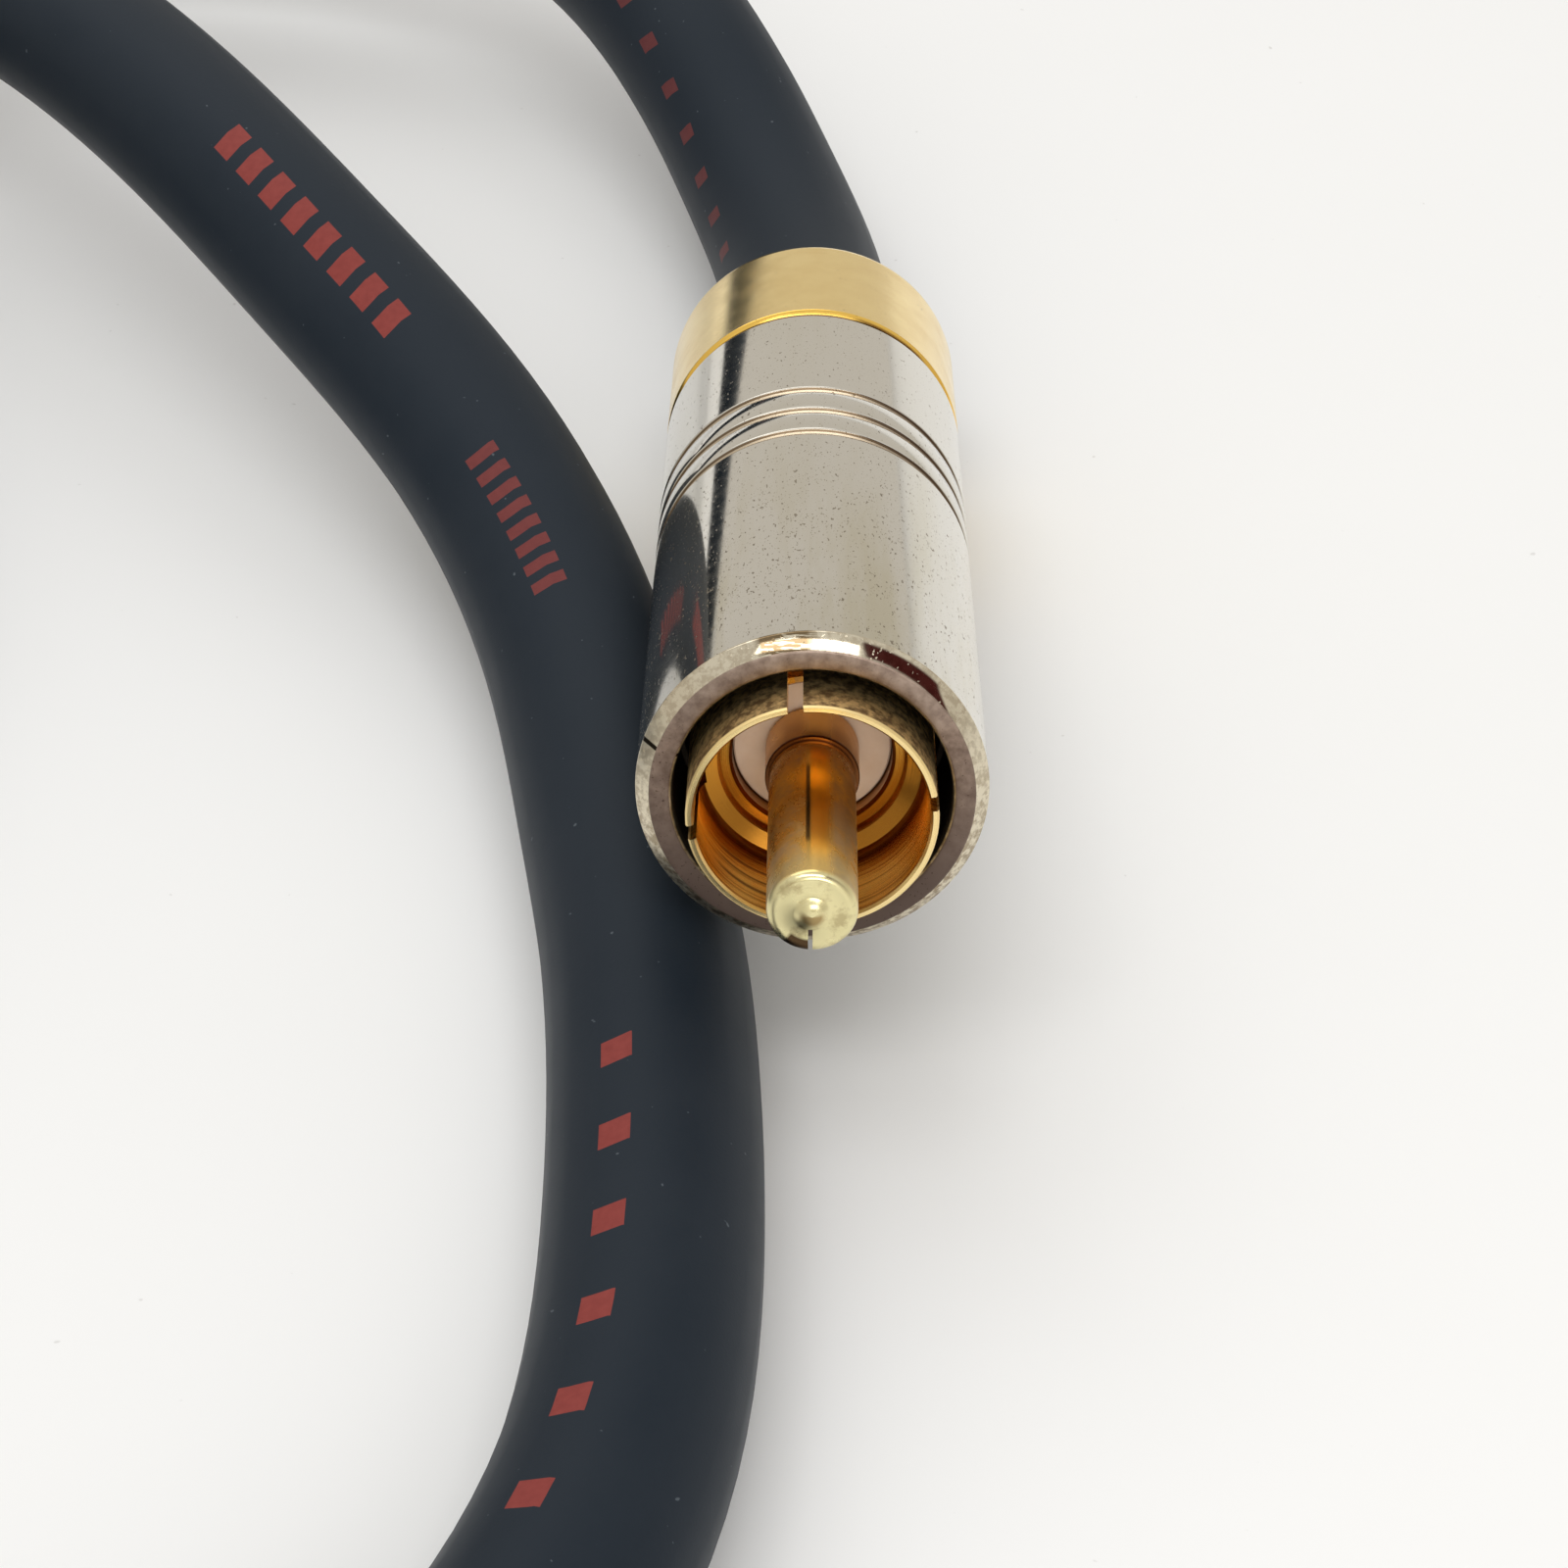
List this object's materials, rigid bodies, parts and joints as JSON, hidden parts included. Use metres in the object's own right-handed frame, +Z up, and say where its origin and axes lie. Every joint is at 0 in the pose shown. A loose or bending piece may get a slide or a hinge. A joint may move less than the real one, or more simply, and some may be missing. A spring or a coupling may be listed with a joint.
{
  "type": "digital coaxial cable",
  "caption": "Thick jacketed coaxial lead, coiled on a surface, with a gold and silver phono plug on each end.",
  "frame": {"origin": "on the surface the cable lies on, under the middle of the near plug's bounding box", "axes": "+Z up; the near plug's axis runs along Y, its pin towards -Y and its lead towards +Y; the coil lies at -X"},
  "size_m": [0.1459, 0.1439, 0.0214],
  "materials": {
    "silver_plate": "polished nickel-silver plate on turned brass, lightly tarnished",
    "gold_plate": "gold plate on turned brass, brighter inside than outside",
    "white_plastic": "matt off-white insulating plastic",
    "jacket_rubber": "matt blue-black extruded jacket",
    "copper_wire": "bare copper",
    "clear_liner": "thin amber insulating sleeve"
  },
  "bodies": {
    "root": {"near_barrel": "silver_plate", "near_rear_collar": "gold_plate", "near_ground_ring": "gold_plate", "near_pin_insulator": "white_plastic", "near_center_pin": "gold_plate", "near_cable_clamp": "gold_plate", "near_inner_liner": "clear_liner", "near_jacket_end": "jacket_rubber", "near_braid_end": "copper_wire", "near_dielectric_end": "white_plastic", "near_core_wire": "copper_wire", "far_barrel": "silver_plate", "far_rear_collar": "gold_plate", "far_ground_ring": "gold_plate", "far_pin_insulator": "white_plastic", "far_center_pin": "gold_plate", "far_cable_clamp": "gold_plate", "far_inner_liner": "clear_liner", "far_jacket_end": "jacket_rubber", "far_braid_end": "copper_wire", "far_dielectric_end": "white_plastic", "far_core_wire": "copper_wire", "cable_near_run": "jacket_rubber", "cable_coil": "jacket_rubber", "cable_far_run": "jacket_rubber"}
  },
  "joints": []
}
